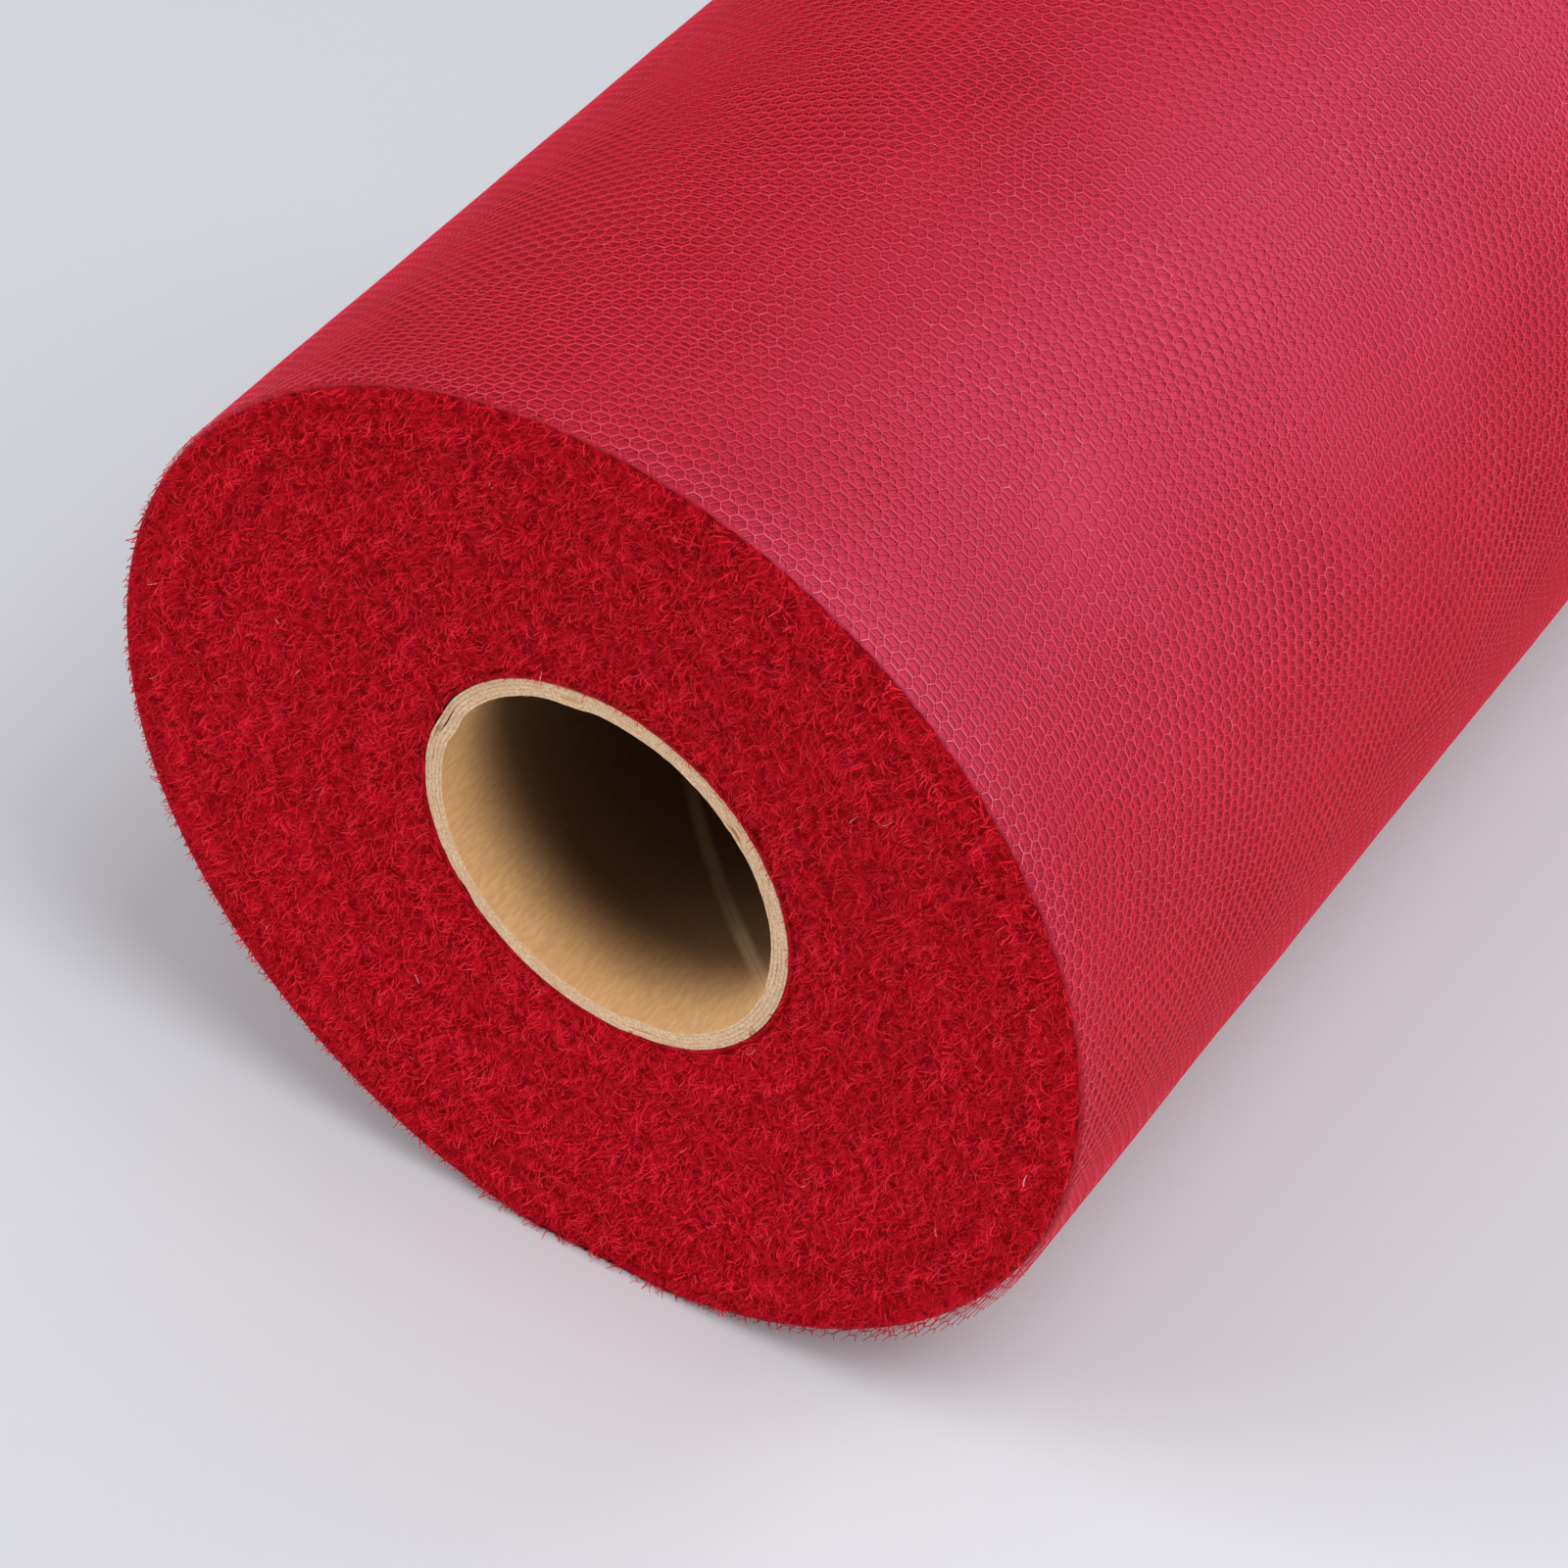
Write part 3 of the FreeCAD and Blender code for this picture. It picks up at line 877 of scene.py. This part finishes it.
def fibreTree():
    tree = bpy.data.node_groups.new("cutEnds", "GeometryNodeTree")
    inputs = [
        ("Surface", "NodeSocketObject"), ("Fibre", "NodeSocketObject"), ("Toward", "NodeSocketFloat"),
        ("Density", "NodeSocketFloat"), ("Seed", "NodeSocketInt"), ("Lay", "NodeSocketFloat"),
        ("Spread", "NodeSocketFloat"), ("Lift", "NodeSocketFloat"), ("Smallest", "NodeSocketFloat"),
        ("Largest", "NodeSocketFloat"), ("Material", "NodeSocketMaterial"),
    ]
    tree.interface.new_socket("Geometry", in_out="INPUT", socket_type="NodeSocketGeometry")
    for name, kind in inputs:
        tree.interface.new_socket(name, in_out="INPUT", socket_type=kind)
    tree.interface.new_socket("Geometry", in_out="OUTPUT", socket_type="NodeSocketGeometry")
    given = newNode(tree, "NodeGroupInput").outputs
    result = newNode(tree, "NodeGroupOutput")
    surface = newNode(tree, "GeometryNodeObjectInfo")
    tree.links.new(given["Surface"], surface.inputs["Object"])
    fibre = newNode(tree, "GeometryNodeObjectInfo")
    tree.links.new(given["Fibre"], fibre.inputs["Object"])

    # roots on the faces that look the right way
    normal = newNode(tree, "GeometryNodeInputNormal").outputs[0]
    toward = calc(tree, "MULTIPLY", splitVector(tree, normal)[1], given["Toward"])
    facing = calc(tree, "GREATER_THAN", toward, 0.35)
    rootX, _, rootZ = splitVector(tree, newNode(tree, "GeometryNodeInputPosition").outputs[0])
    squares = squareSum(tree, rootX, calc(tree, "SUBTRACT", rootZ, axisHeight))
    inside = calc(tree, "LESS_THAN", squares, (bodyRadius - fibres["rimClear"]) ** 2)
    facing = calc(tree, "MULTIPLY", facing, inside)
    roots = newNode(tree, "GeometryNodeDistributePointsOnFaces")
    tree.links.new(surface.outputs["Geometry"], roots.inputs["Mesh"])
    tree.links.new(facing, roots.inputs["Selection"])
    tree.links.new(given["Density"], roots.inputs["Density"])
    tree.links.new(given["Seed"], roots.inputs["Seed"])

    # neighbours lean alike, and each one strays a little
    place = newNode(tree, "GeometryNodeInputPosition").outputs[0]
    centred = newNode(tree, "ShaderNodeVectorMath", operation="SUBTRACT")
    feed(tree, centred.inputs[0], cloud(tree, place, 520.0, 1.5, output=1))
    centred.inputs[1].default_value = (0.5, 0.5, 0.5)
    lay = newNode(tree, "ShaderNodeVectorMath", operation="SCALE")
    feed(tree, lay.inputs[0], centred.outputs[0])
    feed(tree, lay.inputs["Scale"], calc(tree, "MULTIPLY", given["Lay"], 4.0))
    stray = newNode(tree, "FunctionNodeRandomValue", data_type="FLOAT_VECTOR")
    stray.inputs[0].default_value = (-1, -1, -1)
    stray.inputs[1].default_value = (1, 1, 1)
    tree.links.new(given["Seed"], stray.inputs["Seed"])
    spread = newNode(tree, "ShaderNodeVectorMath", operation="SCALE")
    feed(tree, spread.inputs[0], stray.outputs[0])
    feed(tree, spread.inputs["Scale"], given["Spread"])
    lean = newNode(tree, "ShaderNodeVectorMath", operation="ADD")
    feed(tree, lean.inputs[0], lay.outputs[0])
    feed(tree, lean.inputs[1], spread.outputs[0])
    lx, ly, lz = splitVector(tree, lean.outputs[0])
    out = calc(tree, "MULTIPLY", given["Toward"],
               calc(tree, "MULTIPLY_ADD", calc(tree, "ABSOLUTE", ly), 0.35, given["Lift"]))
    aim = newNode(tree, "FunctionNodeAlignRotationToVector", axis="Z")
    feed(tree, aim.inputs["Vector"], joinVector(tree, lx, out, lz))
    spin = newNode(tree, "FunctionNodeRandomValue", data_type="FLOAT")
    spin.inputs[2].default_value = 0.0
    spin.inputs[3].default_value = 2 * math.pi
    feed(tree, spin.inputs["Seed"], calc(tree, "ADD", given["Seed"], 11.0))
    roll = newNode(tree, "FunctionNodeEulerToRotation")
    feed(tree, roll.inputs[0], joinVector(tree, 0.0, 0.0, spin.outputs[1]))
    turned = newNode(tree, "FunctionNodeRotateRotation", rotation_space="LOCAL")
    tree.links.new(aim.outputs[0], turned.inputs[0])
    tree.links.new(roll.outputs[0], turned.inputs[1])
    size = newNode(tree, "FunctionNodeRandomValue", data_type="FLOAT")
    tree.links.new(given["Smallest"], size.inputs[2])
    tree.links.new(given["Largest"], size.inputs[3])
    feed(tree, size.inputs["Seed"], calc(tree, "ADD", given["Seed"], 23.0))

    copies = newNode(tree, "GeometryNodeInstanceOnPoints")
    tree.links.new(roots.outputs["Points"], copies.inputs["Points"])
    tree.links.new(fibre.outputs["Geometry"], copies.inputs["Instance"])
    tree.links.new(turned.outputs[0], copies.inputs["Rotation"])
    tree.links.new(size.outputs[1], copies.inputs["Scale"])
    own = newNode(tree, "FunctionNodeRandomValue", data_type="FLOAT")
    feed(tree, own.inputs["Seed"], calc(tree, "ADD", given["Seed"], 37.0))
    shade = calc(tree, "ADD", calc(tree, "MULTIPLY", own.outputs[1], 0.5),
                 calc(tree, "MULTIPLY", ramp(tree, cloud(tree, place, 700.0, 2.0), 0.3, 0.7), 0.5))
    named = newNode(tree, "GeometryNodeStoreNamedAttribute", data_type="FLOAT", domain="INSTANCE")
    named.inputs["Name"].default_value = "tone"
    tree.links.new(copies.outputs[0], named.inputs[0])
    feed(tree, named.inputs["Value"], shade)
    real = newNode(tree, "GeometryNodeRealizeInstances")
    tree.links.new(named.outputs[0], real.inputs[0])
    x, y, z = splitVector(tree, place)
    rest = newNode(tree, "GeometryNodeSetPosition")
    tree.links.new(real.outputs[0], rest.inputs[0])
    feed(tree, rest.inputs["Position"], joinVector(tree, x, y, calc(tree, "MAXIMUM", z, 0.02 * mm)))
    paint = newNode(tree, "GeometryNodeSetMaterial")
    tree.links.new(rest.outputs[0], paint.inputs[0])
    tree.links.new(given["Material"], paint.inputs["Material"])
    tree.links.new(paint.outputs[0], result.inputs[0])
    return tree


cutEnds = fibreTree()
fibre = makeFibre(fibres)
for name, toward, density, seed in (
        ("near_fibres_a", -1, fibres["nearDensity"], 3), ("near_fibres_b", -1, fibres["nearDensity"], 8),
        ("far_fibres", 1, fibres["farDensity"], 5)):
    mat = runTree(
        name, cutEnds, Surface=body, Fibre=fibre, Toward=float(toward), Density=density / mm ** 2, Seed=seed,
        Lay=fibres["lay"], Spread=fibres["spread"], Lift=fibres["lift"],
        Smallest=fibres["smallest"], Largest=fibres["largest"], Material=cutFibres)
    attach(mat, "roll")
bits = runTree(
    "pale_lint", cutEnds, Surface=body, Fibre=fibre, Toward=-1.0, Density=lint["density"] / mm ** 2, Seed=14,
    Lay=lint["lay"], Spread=lint["spread"], Lift=lint["lift"],
    Smallest=lint["smallest"], Largest=lint["largest"], Material=paleLint)
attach(bits, "roll")
for template in (stitch, fibre):
    bpy.data.objects.remove(template)
print("cut ends made")


# ---- the core: five spiral strips, each with its own butt seam

core = {
    "seamLead": 95 * mm,
    "seamGap": 0.02 * mm,         # along the core, nearly closed by the glue
    "firstSeam": -22.0,           # degrees, of the liner's seam at the near end
    "seamStagger": 60.0,
    "segments": 168,
    "rows": 44,
    "waver": 0.10 * mm,           # of the cut ends
    "dentDepth": 0.30 * mm,       # where a strip's corner is pushed into the bore
    "dentAngles": (152.0, 98.0, -78.0),
    "dentHalfWidth": 6.0,
}
plies = ["core_liner_ply", "core_body_ply_1", "core_body_ply_2", "core_body_ply_3", "core_outer_wrap"]


def boardMaterial():
    # the "strip" map holds how far a point is from its strip's edge, and its place along the core
    material, tree, shader = newMaterial("kraftBoard", Roughness=0.75)
    shader.inputs["Specular IOR Level"].default_value = 0.3
    place = newNode(tree, "ShaderNodeTexCoord").outputs["Object"]
    stretched = newNode(tree, "ShaderNodeMapping")
    feed(tree, stretched.inputs["Vector"], place)
    stretched.inputs["Rotation"].default_value = (0.0, 0.0, math.radians(35))
    stretched.inputs["Scale"].default_value = (1.0, 0.25, 1.0)
    hairs = cloud(tree, stretched.outputs[0], 2600.0, 3.0, 0.65)
    patches = cloud(tree, place, 120.0, 3.0)
    colour = mixColour(tree, ramp(tree, hairs, 0.35, 0.68), hexColour("dba871"), hexColour("eaba82"))
    colour = mixColour(tree, ramp(tree, patches, 0.4, 0.7, 0.0, 0.35), colour, hexColour("d09b66"))
    fromEdge = splitVector(tree, newNode(tree, "ShaderNodeUVMap", uv_map="strip").outputs[0])[0]
    worn = calc(tree, "MULTIPLY", ramp(tree, fromEdge, 1.5 * mm, 0.3 * mm),
                ramp(tree, patches, 0.35, 0.65, 0.5, 0.95))

    # painted shade: the board is coloured darker further in from the ends, for the dark deep in the bore
    # beyond what the light alone makes
    along = splitVector(tree, place)[1]
    depth = calc(tree, "MINIMUM", calc(tree, "SUBTRACT", along, rimNear),
                 calc(tree, "SUBTRACT", coreFar, along))
    colour = mixColour(tree, ramp(tree, depth, 4.5 * mm, 14 * mm, 0.0, 0.86), colour, hexColour("4a2d16"))
    colour = mixColour(tree, calc(tree, "MULTIPLY", worn, 0.32), colour, hexColour("efd0a4"))
    tree.links.new(colour, shader.inputs["Base Color"])
    addBump(tree, shader, hairs, 0.04 * mm, 0.6)
    return material


def cutBoardMaterial():
    material, tree, shader = newMaterial("cutBoard", Roughness=0.85)
    shader.inputs["Specular IOR Level"].default_value = 0.25
    place = newNode(tree, "ShaderNodeTexCoord").outputs["Object"]
    grain = cloud(tree, place, 3200.0, 3.0, 0.7)
    broad = cloud(tree, place, 300.0, 2.0)
    colour = mixColour(tree, ramp(tree, grain, 0.35, 0.65), hexColour("dfb288"), hexColour("f8dcb6"))
    colour = mixColour(tree, ramp(tree, broad, 0.4, 0.7, 0.0, 0.4), colour, hexColour("dfb894"))
    tree.links.new(colour, shader.inputs["Base Color"])
    addBump(tree, shader, grain, 0.08 * mm, 0.8)
    return material


def makePly(nodeName, order, size, materials):
    inner, outer = partRadii(nodeName)
    ends = np.array([0, 0.15, 0.5, 1.0, 1.8, 3.0]) * mm
    middle = np.linspace(coreNear + 5 * mm, coreFar - 5 * mm, size["rows"])
    ys = np.concatenate([coreNear + ends, middle, coreFar - ends[::-1]])
    halfGap = math.pi * size["seamGap"] / size["seamLead"]
    shares = np.concatenate([[0, 0.0007], np.linspace(0, 1, size["segments"])[1:-1], [0.9993, 1]])
    points = []
    for radius, skin in ((outer, 1), (inner, -1)):
        for y in ys:
            seam = math.radians(size["firstSeam"] + order * size["seamStagger"])
            seam -= 2 * math.pi * (y - coreNear) / size["seamLead"]
            for share in shares:
                angle = seam + halfGap + (2 * math.pi - 2 * halfGap) * share
                degrees = math.degrees(angle)
                fromEnd = min(y - coreNear, coreFar - y)
                toEnd = 1 if y > 0 else -1
                edge = math.exp(-fromEnd / (0.6 * mm))
                across, up = math.cos(angle), math.sin(angle)
                lift = size["waver"] * edge * (
                    noiseAt(across * 4, up * 4, order * 0.3)
                    + 0.7 * noiseAt(across * 22, up * 22, order * 2.0))
                corner = min(share, 1 - share) * 2 * math.pi * radius
                lift -= 0.25 * mm * edge * math.exp(-(corner / (0.9 * mm)) ** 2)
                dent = sum(math.exp(-(gap(degrees, at) / size["dentHalfWidth"]) ** 2)
                           for at in size["dentAngles"])
                dent *= size["dentDepth"] * math.exp(-fromEnd / (1.1 * mm)) if y < 0 else 0.0
                fuzz = 0.03 * mm * edge * noiseAt(across * 60, up * 60, y / mm)
                reach = radius - dent * (1 if order < 3 else 0.5) + fuzz + flareAt(degrees, y)
                points.append((reach * across, y + toEnd * lift, axisHeight + reach * up))
    wide, rows = len(shares), len(ys)
    skin = wide * rows
    faces, kinds = [], []
    for i in range(rows - 1):
        for k in range(wide - 1):
            a, b = i * wide + k, (i + 1) * wide + k
            faces += [(a, b, b + 1, a + 1), (skin + a, skin + a + 1, skin + b + 1, skin + b)]
            kinds += [0, 0]
        for k in (0, wide - 1):
            a, b = i * wide + k, (i + 1) * wide + k
            wall = (a, skin + a, skin + b, b)
            faces.append(wall if k == 0 else wall[::-1])
            kinds.append(1)
    for k in range(wide - 1):
        a = (rows - 1) * wide + k
        faces += [(k, k + 1, skin + k + 1, skin + k), (a + 1, a, skin + a, skin + a + 1)]
        kinds += [1, 1]
    piece = newPiece(nodeName.replace("core_", "paper_"), points, faces, materials)
    piece.data.polygons.foreach_set("material_index", kinds)
    piece.data.polygons.foreach_set("use_smooth", [kind == 0 for kind in kinds])
    corners = np.array(faces).reshape(-1)
    share = shares[corners % wide]
    strip = piece.data.uv_layers.new(name="strip")
    strip.data.foreach_set("uv", np.stack(
        [np.minimum(share, 1 - share) * 2 * math.pi * inner, np.array(points)[corners, 1]], axis=1).ravel())
    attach(piece, "roll")
    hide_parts(nodeName)
    return piece


boards = [boardMaterial(), cutBoardMaterial()]
for order, nodeName in enumerate(plies):
    makePly(nodeName, order, core, boards)
print("core made")


# ---- first turn of netting round the core, and the tape under it

def makeStartTurn():
    inner, outer = partRadii("net_start_turn")
    inner -= 0.06 * mm
    outer += 0.05 * mm
    segments, points = 260, []
    middle = np.linspace(coreNear + 4 * mm, coreFar - 4 * mm, 24)
    ys = np.concatenate([[coreNear, coreNear + 0.6 * mm], middle, [coreFar - 0.6 * mm, coreFar]])
    loop = [(inner, y) for y in ys[::-1]] + [(outer, y) for y in ys]
    for r, y in loop:
        for k in range(segments):
            a = 2 * math.pi * k / segments
            fray = 0.18 * mm * noiseAt(math.cos(a) * 30, math.sin(a) * 30, r / mm)
            out = -1 if y < coreNear + 0.1 * mm else 1 if y > coreFar - 0.1 * mm else 0
            reach = r + flareAt(math.degrees(a), y)
            points.append((reach * math.cos(a), y + out * fray, axisHeight + reach * math.sin(a)))
    faces = []
    for i in range(len(loop)):
        j = (i + 1) % len(loop)
        for k in range(segments):
            m = (k + 1) % segments
            faces.append((i * segments + k, j * segments + k, j * segments + m, i * segments + m))
    piece = newPiece("start_turn", points, faces, [cutEdgeMat])
    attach(piece, "roll")
    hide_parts("net_start_turn")


def paperTapeMaterial():
    material, tree, shader = newMaterial("startTapePaper", Roughness=0.6)
    place = newNode(tree, "ShaderNodeTexCoord").outputs["Object"]
    crepe = cloud(tree, place, 1500.0, 2.0)
    colour = mixColour(tree, crepe, hexColour("d9cfae"), hexColour("efe8cf"))
    tree.links.new(colour, shader.inputs["Base Color"])
    addBump(tree, shader, crepe, 0.05 * mm)
    return material


makeStartTurn()
startTape = frame["nodes"]["start_tape"]
startTape.data.materials.clear()
startTape.data.materials.append(paperTapeMaterial())
print("start turn and tape made")


# ---- clear tape that holds the free edge down

tape = {
    "width": 19 * mm,
    "onEnd": 14 * mm,
    "pastEnd": 12 * mm,
    "film": 0.05 * mm,
    "stuck": 0.05 * mm,           # above the netting
    "rise": 0.12 * mm,            # more than that past the free edge
    "stepLength": 0.25 * mm,
    "crease": 0.05 * mm,
    "toothPitch": 1.3 * mm,
    "toothDepth": 0.45 * mm,
    "lengthSteps": 70,
    "widthSteps": 59,
}


def clearTapeMaterial():
    material, tree, shader = newMaterial("clearTape", Roughness=0.12)
    shader.inputs["Alpha"].default_value = 0.2
    shader.inputs["Specular IOR Level"].default_value = 0.7
    place = newNode(tree, "ShaderNodeTexCoord").outputs["Object"]
    haze = cloud(tree, place, 260.0, 3.0)
    colour = mixColour(tree, haze, hexColour("e9d9d6"), hexColour("fbf6f2"))
    tree.links.new(colour, shader.inputs["Base Color"])
    addBump(tree, shader, haze, 0.06 * mm, 0.5)
    return material


def makeTape(size):
    middle = (rimNear + rimFar) / 2
    start = freeAngle - size["onEnd"] / rollRadius
    end = freeAngle + size["pastEnd"] / rollRadius
    points = []
    for lift in (size["film"], 0.0):
        for along in np.linspace(0, 1, size["lengthSteps"] + 1):
            for across in np.linspace(-0.5, 0.5, size["widthSteps"] + 1):
                tooth = abs((across * size["width"] / size["toothPitch"]) % 1 - 0.5) * 2 * size["toothDepth"]
                angle = start + (end - start) * along
                angle += tooth / rollRadius * ((along > 0.999) * 1.0 - (along < 0.001) * 1.0)
                over = 1 / (1 + math.exp(-(angle - freeAngle) * rollRadius / size["stepLength"]))
                crease = noiseAt(angle * 40, across * 9, 2.0) + 0.5 * noiseAt(angle * 90, across * 30, 7.0)
                radius = rollRadius + size["stuck"] + size["rise"] * over + size["crease"] * crease + lift
                points.append(onRoll(np.float64(radius), angle, middle + across * size["width"]))
    long, wide = size["lengthSteps"] + 1, size["widthSteps"] + 1
    skin = long * wide
    faces = []
    for i in range(long - 1):
        for k in range(wide - 1):
            a, b = i * wide + k, (i + 1) * wide + k
            faces += [(a, a + 1, b + 1, b), (skin + b, skin + b + 1, skin + a + 1, skin + a)]
    rim = list(range(wide)) + [i * wide + wide - 1 for i in range(1, long)]
    rim += [(long - 1) * wide + k for k in range(wide - 2, -1, -1)]
    rim += [i * wide for i in range(long - 2, 0, -1)]
    for a, b in zip(rim, rim[1:] + rim[:1]):
        faces.append((b, a, skin + a, skin + b))
    piece = newPiece("closing_film", points, faces, [clearTapeMaterial()])
    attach(piece, "loose_end")
    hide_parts("closing_tape")
    return piece


makeTape(tape)
print("closing tape made")
